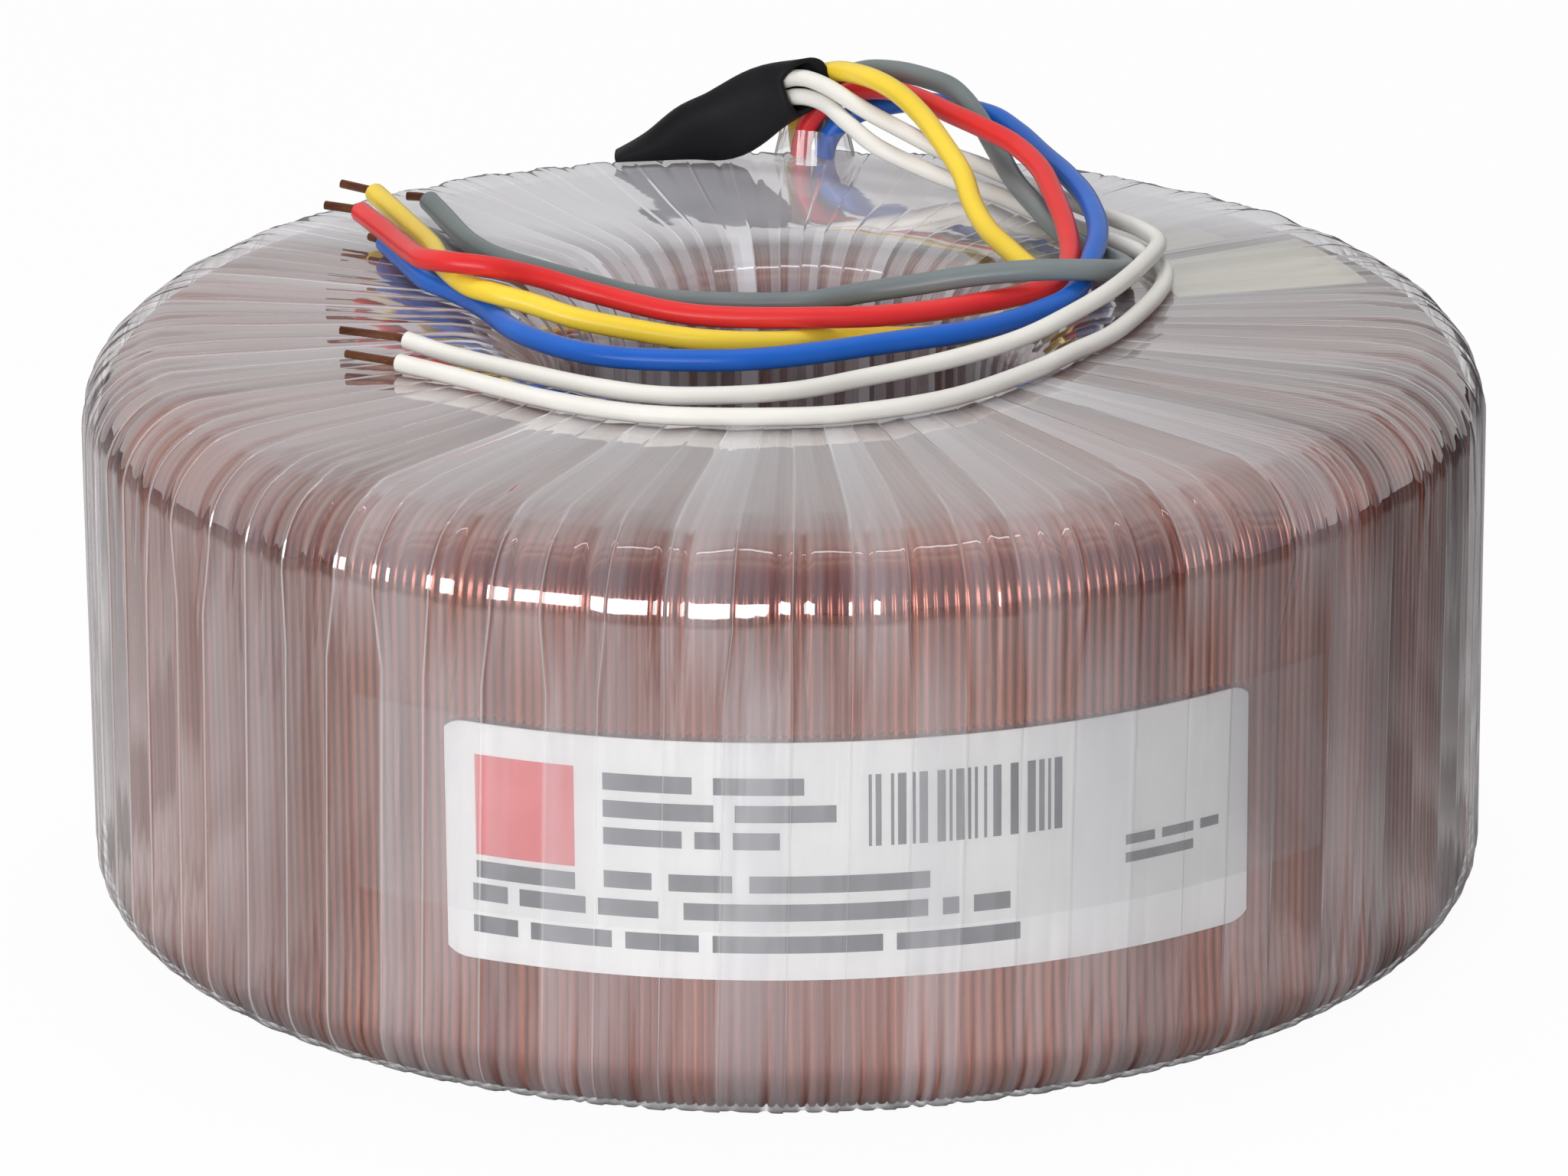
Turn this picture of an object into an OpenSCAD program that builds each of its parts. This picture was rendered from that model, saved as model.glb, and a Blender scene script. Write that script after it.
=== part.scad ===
// Toroidal mains transformer, about 500 VA, wrapped in clear polyester tape.
// Origin at the centre of the resting face, Z up along the axis of the ring.

/* [Outside] */
// Outside diameter over the clear tape
outer_d = 140; // [130:0.5:160]
// Height over the clear tape
height = 59; // [54:0.5:70]
// Diameter of the hole through the middle
hole_d = 46; // [36:0.5:50]
// Radius of the rounded top outer edge
shoulder_r = 9; // [5:0.5:12]
// Radius of the rounded bottom outer edge
foot_r = 6.5; // [4:0.5:9]
// Radius of the top rim of the hole
rim_r = 10; // [6:0.5:12]
// Radius of the bottom rim of the hole
throat_r = 8; // [5:0.5:10]

/* [Core] */
// Depth of the steel core's outside below the outside of the tape
side_build = 8; // [7:0.1:14]
// Depth of the steel core's hole below the tape inside the hole
hole_build = 11.5; // [10.5:0.1:16]
// Depth of the steel core's ends below the tape on the top and on the resting face
face_build = 9.5; // [8.5:0.1:14]
// Thickness of the tape round the core
core_tape_t = 0.6; // [0.4:0.1:0.9]

/* [Windings] */
// Build of each secondary winding
secondary_t = 1; // [0.8:0.1:1.2]
// Thickness of the tape between primary and secondaries
barrier_t = 0.4; // [0.3:0.05:0.6]
// Clearance between one layer and the next
layer_gap = 0.05; // [0.02:0.01:0.1]

/* [Clear tape] */
// Number of turns of the lapped outer tape
laps = 76; // [40:1:90]
// How far a lap edge stands above the tape beside it
lap_step = 0.35; // [0.1:0.05:0.5]
// Least thickness of the outer wrap
outer_wrap_t = 0.45; // [0.3:0.05:0.8]
// Room between the wraps for the label and flat tapes
label_room = 0.4; // [0.35:0.05:0.6]
// Thickness of the inner wrap
inner_wrap_t = 0.3; // [0.2:0.05:0.5]

/* [Label] */
// Height of the label
label_h = 23.6; // [15:0.2:26]
// Height of the label's lower edge above the resting face
label_z = 15.2; // [10:0.2:20]
// Angle that the label covers
label_angle = 67; // [40:1:90]
// Angle from the front to the middle of the label
label_turn = 5.8; // [-20:0.2:20]
// Thickness of the label
label_t = 0.18; // [0.1:0.02:0.22]
// Corner radius of the label
label_corner_r = 2.4; // [0.5:0.1:4]
// Height of the clear strip that holds the label
strip_h = 19.4; // [12:0.2:24]
// Height of the clear strip's lower edge above the resting face
strip_z = 20; // [14:0.2:26]
// Angle that the clear strip covers
strip_angle = 84; // [70:1:110]
// Thickness of the clear strip
strip_t = 0.1; // [0.06:0.01:0.12]

/* [Anchor tapes] */
// Thickness of the yellowish anchor tapes
anchor_t = 0.16; // [0.1:0.02:0.2]
// Width of the anchor tape beside the lead exit
anchor_w = 22; // [12:0.5:24]
// Width of the anchor tape over the winding's start
start_tape_w = 20; // [12:0.5:22]

/* [Leads] */
// Diameter of the coloured secondary sleeves
lead_d = 2.2; // [1.8:0.1:2.3]
// Diameter of the white primary sleeves
white_d = 1.8; // [1.5:0.1:1.9]
// Diameter of the secondary winding wire
secondary_wire_d = 0.9; // [0.6:0.05:1.2]
// Diameter of the primary winding wire
primary_wire_d = 0.8; // [0.5:0.05:1]
// Thickness of the black sleeve across its flat
sleeve_w = 3.8; // [3.2:0.1:4.4]
// Wall of the black sleeve
sleeve_wall = 0.5; // [0.3:0.05:0.5]
// Height of the clear film collar round the four secondary leads
collar_h = 2.8; // [2:0.2:3]

/* [Hidden] */
$fn = 48;

outer_r = outer_d / 2;
hole_r = hole_d / 2;
min_r = 1;

// Depth of each layer's outside below the outside of the tape
label_depth = lap_step + outer_wrap_t;
inner_wrap_depth = label_depth + label_room;
secondary_2_depth = inner_wrap_depth + inner_wrap_t + layer_gap;
secondary_1_depth = secondary_2_depth + secondary_t + layer_gap;
barrier_depth = secondary_1_depth + secondary_t + layer_gap;
primary_depth = barrier_depth + barrier_t + layer_gap;
core_in = hole_r + hole_build;
core_w = outer_r - side_build - core_in;
core_h = height - 2 * face_build;
core_edge = 0.8;

// Flat part of the top face, from the rim of the hole to the shoulder
rim_end = hole_r + rim_r;
top_end = outer_r - shoulder_r;
// Where the top face ends at the back; the leads, their collar and the black sleeve are placed from it
lead_origin = [0, top_end, height];

// Colours
copper = [0.55, 0.25, 0.16];
dark_copper = [0.42, 0.18, 0.12];
steel = [0.42, 0.43, 0.45];
clear_film = [0.85, 0.83, 0.84, 0.35];
white_pvc = [0.93, 0.92, 0.87];

// ---------- wound ring section ----------

// Radii of the four corners, in the order shoulder, rim, throat, foot, at a depth below the tape
function corner_radii(depth) = [for (r = [shoulder_r, rim_r, throat_r, foot_r]) max(r - depth, min_r)];

// Centres of the four corner arcs as [radius, height]
function corner_centres(depth) =
    let (r = corner_radii(depth), ri = hole_r + depth, ro = outer_r - depth, top = height - depth)
    [[ro - r[0], top - r[0]], [ri + r[1], top - r[1]], [ri + r[2], depth + r[2]], [ro - r[3], depth + r[3]]];

// Half section of the wound ring at a depth below the outside of the tape
module ring_section(depth) {
    r = corner_radii(depth);
    c = corner_centres(depth);
    polygon([
        c[0] + [0, r[0]], c[1] + [0, r[1]], c[1] - [r[1], 0], c[2] - [r[2], 0],
        c[2] - [0, r[2]], c[3] - [0, r[3]], c[3] + [r[3], 0], c[0] + [r[0], 0]
    ]);
    for (i = [0:3]) translate(c[i]) circle(r[i]);
}

// Closed layer of the ring between two depths
module layer(outside, inside) {
    rotate_extrude($fn = 180) difference() {
        ring_section(outside);
        ring_section(inside);
    }
}

module core_section(extra) {
    translate([core_in - extra, face_build - extra]) square([core_w + 2 * extra, core_h + 2 * extra]);
}

// Strip wound steel ring with its corners broken
module core() {
    w = core_w;
    h = core_h;
    c = core_edge;
    color(steel) rotate_extrude($fn = 180) translate([core_in, face_build])
        polygon([[c, 0], [w - c, 0], [w, c], [w, h - c], [w - c, h], [c, h], [0, h - c], [0, c]]);
}

module core_tape() {
    color("ivory") rotate_extrude($fn = 180) difference() {
        core_section(layer_gap + core_tape_t);
        core_section(layer_gap);
    }
}

module primary_winding() {
    color(dark_copper) rotate_extrude($fn = 180) difference() {
        ring_section(primary_depth);
        core_section(2 * layer_gap + core_tape_t);
    }
}

module winding_barrier() {
    color("khaki") layer(barrier_depth, barrier_depth + barrier_t);
}

module secondary_winding_1() {
    color(copper) layer(secondary_1_depth, secondary_1_depth + secondary_t);
}

module secondary_winding_2() {
    color(copper) layer(secondary_2_depth, secondary_2_depth + secondary_t);
}

module inner_wrap() {
    color(clear_film) layer(inner_wrap_depth, inner_wrap_depth + inner_wrap_t);
}

// ---------- lapped outer tape ----------

// The tape is one helix round the section: it gains one lap of angle each time it goes round.
arc_steps = 3;
lap_angle = 360 / laps;

// Part of a lap at which each ring lies, and its share of the lap step on flats and on rounded edges
lap_rings = [[0, 0, 0], [0.14, 1, 0.8]];
flat_steps = 1;

// Points round the section at one depth, with the depth on corners given apart
function corner_arc(i, depth) =
    let (r = corner_radii(depth)[i], c = corner_centres(depth)[i], start = [0, 90, 180, 270][i])
    [for (k = [0:arc_steps]) c + r * [cos(start + 90 * k / arc_steps), sin(start + 90 * k / arc_steps)]];

function middle(a, b, n) = [for (k = [1:n]) a + (b - a) * k / (n + 1)];

// Outline of the tape for one ring of a lap; on the resting face the laps are pressed flat
function tape_outline(flat_depth, edge_depth) =
    let (
        edge = [for (i = [0:3]) corner_arc(i, edge_depth)],
        flat = [for (i = [0:3]) corner_arc(i, flat_depth)],
        rest = [for (i = [0:3]) corner_arc(i, 0)],
        last = arc_steps
    )
    [for (i = [0:3]) let (n = (i + 1) % 4, from = i == 2 ? rest[2] : flat[i], to = i == 2 ? rest[3] : flat[n])
        each concat(
            [i == 3 ? rest[3][0] : flat[i][0]],
            [for (k = [1:last - 1]) edge[i][k]],
            [from[last]],
            i == 1 ? [] : middle(from[last], to[0], flat_steps)
        )];

function ring_point(p, angle) = [p[0] * sin(angle), -p[0] * cos(angle), p[1]];

module lapped_tape() {
    rings = len(lap_rings);
    outlines = [for (q = lap_rings) tape_outline(q[1] * lap_step, q[2] * lap_step)];
    n = len(outlines[0]);
    total = laps * rings;
    points = [for (k = [0:total - 1], j = [0:n - 1])
        let (lap = floor(k / rings), q = k % rings)
        ring_point(outlines[q][j], (lap + lap_rings[q][0] + j / n) * lap_angle)];
    // the last point of a ring joins the first point of the same ring one lap further on
    faces = [for (k = [0:total - 1], j = [0:n - 1])
        let (
            k2 = (k + 1) % total,
            j2 = (j + 1) % n,
            s = j == n - 1 ? rings : 0,
            a = k * n + j,
            b = k2 * n + j,
            c = ((k2 + s) % total) * n + j2,
            d = ((k + s) % total) * n + j2
        )
        each [[a, d, c], [a, c, b]]];
    polyhedron(points, faces);
}

module outer_wrap() {
    color(clear_film) difference() {
        lapped_tape();
        rotate_extrude($fn = 180) ring_section(label_depth);
    }
}

// ---------- label and flat tapes under the outer wrap ----------

// Curved plate against the inner wrap, from a height z, centred on an angle from the front
module curved_plate(depth, t, z, h, angle) {
    r = outer_r - depth - t;
    rotate([0, 0, label_turn - 90 - angle / 2])
        rotate_extrude(angle = angle, $fn = 180) translate([r, z]) square([t, h]);
}

// Rounded rectangle seen from the front, deep enough to cut the label's corners
module label_blank() {
    r = label_corner_r;
    chord = 2 * outer_r * sin(label_angle / 2);
    rotate([90, 0, label_turn]) linear_extrude(outer_r) translate([-chord / 2, label_z]) {
        translate([r, 0]) square([chord - 2 * r, label_h]);
        translate([0, r]) square([chord, label_h - 2 * r]);
        for (x = [r, chord - r], y = [r, label_h - r]) translate([x, y]) circle(r);
    }
}

module label() {
    depth = inner_wrap_depth - layer_gap - label_t;
    color("whitesmoke") intersection() {
        curved_plate(depth, label_t, label_z, label_h, label_angle);
        label_blank();
    }
}

module label_strip() {
    depth = inner_wrap_depth - 2 * layer_gap - label_t - strip_t;
    color(clear_film) curved_plate(depth, strip_t, strip_z, strip_h, strip_angle);
}

// Flat tape laid on the top face under the outer wrap, from one radius to another
module top_tape(inner, outer, from, to) {
    z = height - inner_wrap_depth + layer_gap;
    rotate([0, 0, from]) rotate_extrude(angle = to - from, $fn = 180)
        translate([inner, z]) square([outer - inner, anchor_t]);
}

module anchor_tape() {
    color([0.78, 0.76, 0.6, 0.6]) top_tape(rim_end, rim_end + anchor_w, 34, 72);
}

module start_tape() {
    color([0.78, 0.76, 0.6, 0.6]) top_tape(top_end - start_tape_w, top_end, 14, 30);
}

// ---------- leads ----------

lead_sides = 8;
rings_per_span = 2;

// Routes of the leads from the lead origin, from where each leaves the tape or sleeve to its far end
white_1_route = [
    [-1.5, -4, 8.3], [1.5, -5.4, 9.7], [4.5, -7.7, 9.5], [9, -11, 7.5], [13.5, -13, 5.5], [17, -14.5, 4],
    [21, -16.5, 3], [25.5, -21.5, 2.3], [30, -27, 2], [34, -33, 2], [36.5, -38.5, 2.5], [38, -46, 3.2],
    [36, -55.5, 3.8], [32.5, -64.5, 3.8], [28, -70.5, 3], [23, -75, 2], [16, -79.5, 1.3], [8, -84, 1],
    [0, -88.5, 1], [-10.5, -89.5, 1], [-18, -86.5, 1], [-25, -81.5, 1], [-32.5, -75.5, 1],
    [-37, -72, 1.5]
];
white_2_route = [
    [-1.5, -4, 6.2], [1.5, -5.3, 7.6], [4.4, -7.4, 7.5], [7, -11, 6.2], [10, -14, 4.5], [15, -16, 2.5],
    [18.5, -17.5, 1.5], [22.5, -20.5, 1], [26, -26.5, 1], [29.5, -32, 1], [33, -37, 1], [36.5, -42, 1],
    [38.5, -48, 1], [37.5, -56.5, 1], [33, -69, 1], [28.5, -76, 1], [24, -82.5, 1], [16.5, -90.5, 1],
    [8, -95, 1], [0, -96.5, 1], [-12.5, -95.5, 1], [-22.5, -90.5, 1], [-32, -82.5, 1], [-37.5, -78, 1]
];
yellow_route = [
    [2, 1, 0.1], [1.8, 1, 2.3], [1.8, 0.5, 5], [3, -1, 7.8], [5.5, -4.5, 10.1], [9, -10, 11],
    [12, -14.5, 10.6], [14.5, -19.5, 9.5], [16.5, -24.5, 8], [18.5, -29.5, 6], [19.5, -34, 4], [21, -38.5, 2.5],
    [23.5, -44, 1.5], [26, -49.5, 0.3], [25, -55, -1], [20.5, -59.5, -1.7], [13, -62, -1.7], [6, -62.5, -1.4],
    [0, -66.5, -0.7], [-8, -68.5, 0.2], [-15.5, -67, 1], [-20.5, -66, 1.8], [-25, -64.2, 2.8], [-28.5, -62.8, 3.4],
    [-31.5, -59.8, 3.5], [-34, -53, 3.5], [-35.5, -45.7, 3.4], [-37.5, -39, 3.2], [-40, -31.5, 3.2],
    [-42, -26, 3.3]
];
red_route = [
    [2, -1.5, 0.1], [2.3, -1.5, 2], [3.3, -1.8, 4.3], [5.2, -2.5, 6.4], [8, -4.2, 7.9], [11.5, -7.7, 8.9],
    [15, -12.5, 9], [17.8, -16.5, 8.7], [20.8, -20, 8.2], [24, -24, 7.5], [26.5, -29.5, 6.5], [27.8, -35.5, 5.2],
    [28.8, -42, 3.8], [29, -48.5, 2.4], [27.5, -54.2, 1.6], [23, -58.2, 1.3], [13.5, -63, 1.2], [5, -64.5, 1.2],
    [-8.5, -64, 1.4], [-18.5, -60, 2.5], [-24.5, -59.5, 4.2], [-29, -60.8, 5.6], [-33, -60, 5.9], [-35.8, -57, 5.4],
    [-37.2, -53, 4.9], [-38.7, -48, 4.5], [-40.5, -42.5, 4.3], [-43, -36, 4.2]
];
blue_route = [
    [4.5, -2, 0.1], [4.9, -2, 1.8], [5.9, -2.1, 3.4], [7.7, -2.5, 4.8], [10.5, -3.2, 5.9], [15, -5, 6.8],
    [21.5, -10.5, 7], [24.5, -15, 6.4], [27, -21, 5.6], [29.3, -27.5, 5.2], [31.2, -35, 4.7], [32, -43, 4],
    [31.2, -50.5, 3.2], [29, -58.5, 1.7], [25, -63.5, 1.2], [19, -68.5, 1], [10.5, -72.5, 1], [0, -77, 1],
    [-8, -78, 1], [-18, -76, 1], [-25.5, -69, 1], [-30, -59.8, 1.2], [-33, -54.5, 1.2], [-36, -50, 1.2],
    [-38, -44.5, 1.2], [-40.5, -37, 1.2]
];
grey_route = [
    [4.6, 0.6, 0.1], [4.6, 0.7, 2.5], [5, 0.8, 5.5], [6.3, -0.2, 8], [9, -2.7, 9.7], [12, -5.2, 10.3],
    [15, -7.5, 10.2], [18, -10, 9.6], [20.3, -13.5, 7.8], [22.5, -19, 5.2], [24, -24.5, 3.8], [26, -32, 3.2],
    [28.5, -38, 2], [32, -43, 1.3], [34.3, -48, 1.5], [34, -53.5, 2.6], [31, -57.8, 3.9], [25.5, -58.7, 4.2],
    [19, -58.5, 3.6], [13.5, -58, 2.6], [8, -58, 1.8], [2, -59.5, 1.3], [-6, -58.5, 1], [-13.5, -56.5, 1],
    [-21, -50, 1], [-28.5, -43, 1.2], [-31.3, -38.5, 1.2], [-33, -34, 1.2], [-35, -28, 1.5], [-36.5, -24.5, 2]
];

// How far each bare end runs on past its sleeve
bare_white_1 = 7.2;
bare_white_2 = 6;
bare_colour = 4.6;
bare_hidden = 3;
// Length over which a bare end bends towards its heading
bare_bend = 0.7;

// Smooth route through the given points
function spline(a, b, c, d, t) =
    0.5 * (2 * b + (c - a) * t + (2 * a - 5 * b + 4 * c - d) * t * t + (3 * b - a - 3 * c + d) * t * t * t);

function smooth(route, steps) =
    let (n = len(route), r = concat([2 * route[0] - route[1]], route, [2 * route[n - 1] - route[n - 2]]))
    concat(
        [for (i = [0:n - 2], k = [0:steps - 1]) spline(r[i], r[i + 1], r[i + 2], r[i + 3], k / steps)],
        [route[n - 1]]
    );

function unit(v) = v / norm(v);

function tangent(line, i) = unit(line[min(i + 1, len(line) - 1)] - line[max(i - 1, 0)]);

// Sideways direction at each point, carried along so that the tube doesn't twist
function carried(line, start) = [
    for (i = 0, s = unit(cross(cross(tangent(line, 0), start), tangent(line, 0)));
        i < len(line);
        i = i + 1, s = i < len(line) ? unit(cross(cross(tangent(line, i), s), tangent(line, i))) : s) s
];

// Closed skin over rings of equal point count, each a list of points
module skin(rings) {
    n = len(rings[0]);
    m = len(rings);
    sides = [for (i = [0:m - 2], j = [0:n - 1])
        let (a = i * n + j, b = i * n + (j + 1) % n)
        each [[a, b, b + n], [a, b + n, a + n]]];
    first = [for (j = [n - 1:-1:0]) j];
    last = [for (j = [0:n - 1]) (m - 1) * n + j];
    polyhedron([for (r = rings) each r], concat([first, last], sides));
}

// Round tube along a line of points
module cord(line, d) {
    side = carried(line, [0.31, 0.17, 0.93]);
    skin([for (i = [0:len(line) - 1]) let (u = side[i], w = cross(tangent(line, i), u))
        [for (j = [0:lead_sides - 1]) let (a = -360 * j / lead_sides)
            line[i] + d / 2 * (cos(a) * u + sin(a) * w)]]);
}

module lead(route, d) {
    translate(lead_origin) cord(smooth(route, rings_per_span), d);
}

// Bare wire that runs on past the end of a route and bends over towards a heading
module bare_end(route, d, length, heading) {
    line = smooth(route, rings_per_span);
    start = route[len(route) - 1];
    v = unit(start - line[len(line) - 2]);
    h = unit(heading);
    out = start + bare_bend * v;
    bend = out + bare_bend * unit(v + h);
    color("saddlebrown") translate(lead_origin) cord([start, out, bend, bend + (length - 2 * bare_bend) * h], d);
}

module lead_white_1() { color(white_pvc) lead(white_1_route, white_d); }
module lead_white_2() { color(white_pvc) lead(white_2_route, white_d); }
module lead_yellow() { color([0.93, 0.8, 0.15]) lead(yellow_route, lead_d); }
module lead_red() { color([0.8, 0.1, 0.1]) lead(red_route, lead_d); }
module lead_blue() { color([0.05, 0.3, 0.68]) lead(blue_route, lead_d); }
module lead_grey() { color([0.4, 0.44, 0.44]) lead(grey_route, lead_d); }

module end_white_1() { bare_end(white_1_route, primary_wire_d, bare_white_1, [-7, 2.4, 0.2]); }
module end_white_2() { bare_end(white_2_route, primary_wire_d, bare_white_2, [-5.5, 2.4, 0.2]); }
module end_yellow() { bare_end(yellow_route, secondary_wire_d, bare_colour, [-4.4, 2, 0.5]); }
module end_red() { bare_end(red_route, secondary_wire_d, bare_colour, [-3.6, 1.2, 0.2]); }
module end_blue() { bare_end(blue_route, secondary_wire_d, bare_hidden, [-1, 1, 0]); }
module end_grey() { bare_end(grey_route, secondary_wire_d, bare_hidden, [-2, 0.5, 0]); }

// Thin film drawn up round the four secondary leads where they leave the tape
module exit_collar() {
    base_r = 4.3;
    top_r = 4;
    wall = 0.3;
    color(clear_film) translate(lead_origin + [3.6, -0.8, 0]) difference() {
        cylinder(h = collar_h, r1 = base_r, r2 = top_r);
        translate([0, 0, -1]) cylinder(h = collar_h + 2, r1 = base_r - wall, r2 = top_r - wall);
    }
}

// Middle of the flattened black sleeve and its height there, from the tape to its mouth
sleeve_line = [
    [-17.5, -0.5, 0.8], [-13.8, -0.7, 2], [-9.7, -1, 3.5], [-5.7, -2, 4.6], [-1.6, -4, 7], [2.6, -6, 9]
];
sleeve_heights = [1, 3.2, 6.2, 7.8, 7.2, 6.2];
sleeve_points = 12;

// Flat oval ring that stands upright across the sleeve's line
function sleeve_ring(i, inset) =
    let (t = tangent(sleeve_line, i), side = unit(cross(t, [0, 0, 1])), up = cross(side, t),
        a = sleeve_w / 2 - inset, b = max(sleeve_heights[i] / 2 - inset, 0.2))
    [for (j = [0:sleeve_points - 1]) let (q = 360 * (j + 0.5) / sleeve_points)
        sleeve_line[i] + a * cos(q) * side + b * sin(q) * up];

// The skin runs up the outside to the mouth and back down inside, as far as the bore is open
module primary_sleeve() {
    last = len(sleeve_line) - 1;
    bore_end = 3;
    color([0.06, 0.06, 0.06]) translate(lead_origin) skin(concat(
        [for (i = [0:last]) sleeve_ring(i, 0)],
        [for (i = [last:-1:bore_end]) sleeve_ring(i, sleeve_wall)]
    ));
}

core();
core_tape();
primary_winding();
winding_barrier();
secondary_winding_1();
secondary_winding_2();
inner_wrap();
anchor_tape();
start_tape();
label();
label_strip();
outer_wrap();
exit_collar();
primary_sleeve();
lead_white_1();
lead_white_2();
lead_yellow();
lead_red();
lead_blue();
lead_grey();
end_white_1();
end_white_2();
end_yellow();
end_red();
end_blue();
end_grey();
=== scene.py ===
import math
import random

import bpy
import numpy as np
from mathutils import Matrix, Vector


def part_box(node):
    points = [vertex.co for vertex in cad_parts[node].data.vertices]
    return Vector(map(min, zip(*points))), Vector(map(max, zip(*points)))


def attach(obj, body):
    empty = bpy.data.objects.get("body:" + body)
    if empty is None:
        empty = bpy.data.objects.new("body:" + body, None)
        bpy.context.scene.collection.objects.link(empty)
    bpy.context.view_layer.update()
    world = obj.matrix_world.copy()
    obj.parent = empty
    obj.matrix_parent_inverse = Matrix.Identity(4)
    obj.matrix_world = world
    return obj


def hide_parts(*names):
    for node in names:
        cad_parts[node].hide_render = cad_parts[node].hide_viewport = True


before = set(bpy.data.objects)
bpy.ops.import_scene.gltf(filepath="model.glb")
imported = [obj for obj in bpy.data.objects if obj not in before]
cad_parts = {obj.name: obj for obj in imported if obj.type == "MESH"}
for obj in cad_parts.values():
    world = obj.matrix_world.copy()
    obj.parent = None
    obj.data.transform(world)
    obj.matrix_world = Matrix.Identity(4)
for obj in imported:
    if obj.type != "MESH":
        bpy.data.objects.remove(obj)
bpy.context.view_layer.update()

MM = 0.001

# ---------- sizes, in millimetres ----------

wrap_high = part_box("outer_wrap")[1]
OUTER_R = wrap_high[0] / MM
HEIGHT = wrap_high[2] / MM
HOLE_R = 23.0
SHOULDER_R, RIM_R, THROAT_R, FOOT_R = 9.0, 10.0, 8.0, 6.5
TOP_END = OUTER_R - SHOULDER_R      # radius where the flat top meets the shoulder
WALL_END = HEIGHT - SHOULDER_R      # height where the outer wall meets the shoulder


# ---------- camera ----------

CAMERA_PLACE = (0.0, -0.828576, 0.309914)
CAMERA_DOWN, CAMERA_YAW, CAMERA_ROLL = 18.62, 0.008, -0.464      # degrees
CAMERA_LENS, SENSOR_WIDTH = 199.5, 36.0


def turned(degrees, axis):
    return Matrix.Rotation(math.radians(degrees), 4, axis)


def link_object(name, data):
    obj = bpy.data.objects.new(name, data)
    bpy.context.scene.collection.objects.link(obj)
    return obj


def make_camera():
    data = bpy.data.cameras.new("camera")
    data.sensor_width = SENSOR_WIDTH
    data.lens = CAMERA_LENS
    data.clip_start, data.clip_end = 0.05, 60.0
    camera = link_object("camera", data)
    camera.matrix_world = (Matrix.Translation(CAMERA_PLACE) @ turned(CAMERA_YAW, "Z")
                           @ turned(90.0 - CAMERA_DOWN, "X") @ turned(CAMERA_ROLL, "Z"))
    bpy.context.scene.camera = camera


make_camera()


# ---------- node helpers ----------

def new_material(name):
    mat = bpy.data.materials.new(name)
    mat.use_nodes = True
    mat.node_tree.nodes.clear()
    out = mat.node_tree.nodes.new("ShaderNodeOutputMaterial")
    return mat, mat.node_tree, out


def add(tree, kind, inputs=None, **props):
    """A node with its inputs set, or linked where a socket is given."""
    node = tree.nodes.new(kind)
    for key, value in props.items():
        setattr(node, key, value)
    for key, value in (inputs or {}).items():
        if isinstance(value, bpy.types.NodeSocket):
            tree.links.new(value, node.inputs[key])
        else:
            node.inputs[key].default_value = value
    return node


def maths(tree, operation, *values, clamp=False):
    node = add(tree, "ShaderNodeMath", dict(enumerate(values)), operation=operation, use_clamp=clamp)
    return node.outputs[0]


def mix_shaders(tree, share, under, over):
    return add(tree, "ShaderNodeMixShader", {"Fac": share, 1: under.outputs[0], 2: over.outputs[0]})


def mix_colours(tree, share, first, second, blend_type="MIX"):
    node = add(tree, "ShaderNodeMix", {"Factor": share, "A": first, "B": second},
               data_type="RGBA", blend_type=blend_type)
    return node.outputs["Result"]


def ramp(tree, fac, stops):
    node = add(tree, "ShaderNodeValToRGB", {"Fac": fac})
    elements = node.color_ramp.elements
    while len(elements) < len(stops):
        elements.new(0.5)
    for element, (place, colour) in zip(elements, stops):
        element.position = place
        element.color = (*colour, 1.0)
    return node.outputs["Color"]


def grey(v):
    return (v, v, v)


def noise(tree, scale, detail=2.0):
    coords = add(tree, "ShaderNodeTexCoord").outputs["Object"]
    node = add(tree, "ShaderNodeTexNoise", {"Vector": coords, "Scale": scale, "Detail": detail})
    return node.outputs["Fac"]


def relief(tree, height, strength, distance):
    node = add(tree, "ShaderNodeBump", {"Height": height, "Strength": strength, "Distance": distance})
    return node.outputs["Normal"]


def shared_attribute(tree, name):
    return add(tree, "ShaderNodeAttribute", attribute_name=name).outputs["Fac"]


# ---------- materials ----------

def plain(name, dark, light, roughness, grain=900.0, bump=0.15, metallic=0.0, specular=0.5):
    """Opaque surface whose colour drifts between two tones, with a fine grain in its relief."""
    mat, tree, out = new_material(name)
    tone = ramp(tree, noise(tree, grain / 6.0), [(0.3, dark), (0.7, light)])
    shader = add(tree, "ShaderNodeBsdfPrincipled", {
        "Base Color": tone, "Roughness": roughness, "Metallic": metallic, "Specular IOR Level": specular,
        "Normal": relief(tree, noise(tree, grain, detail=3.0), bump, 0.0002)})
    tree.links.new(shader.outputs["BSDF"], out.inputs["Surface"])
    return mat


def bare_copper(name, dark, light):
    return plain(name, dark, light, roughness=0.3, grain=700.0, bump=0.3, metallic=0.8)


def paper(name, dark, light, roughness=0.5):
    return plain(name, dark, light, roughness, grain=1200.0, bump=0.05)


def sleeving(colour, dark, light, roughness=0.3):
    return plain(colour + "_sleeving", dark, light, roughness, grain=500.0, bump=0.08)


def mirror_share(tree, straight_on):
    """Share of light that a film reflects: the given share seen straight on, all of it at a glancing angle."""
    facing = add(tree, "ShaderNodeLayerWeight", {"Blend": 0.5}).outputs["Facing"]
    glance = maths(tree, "POWER", facing, 2.5)
    return maths(tree, "MULTIPLY_ADD", glance, 1.0 - straight_on, straight_on, clamp=True)


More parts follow.
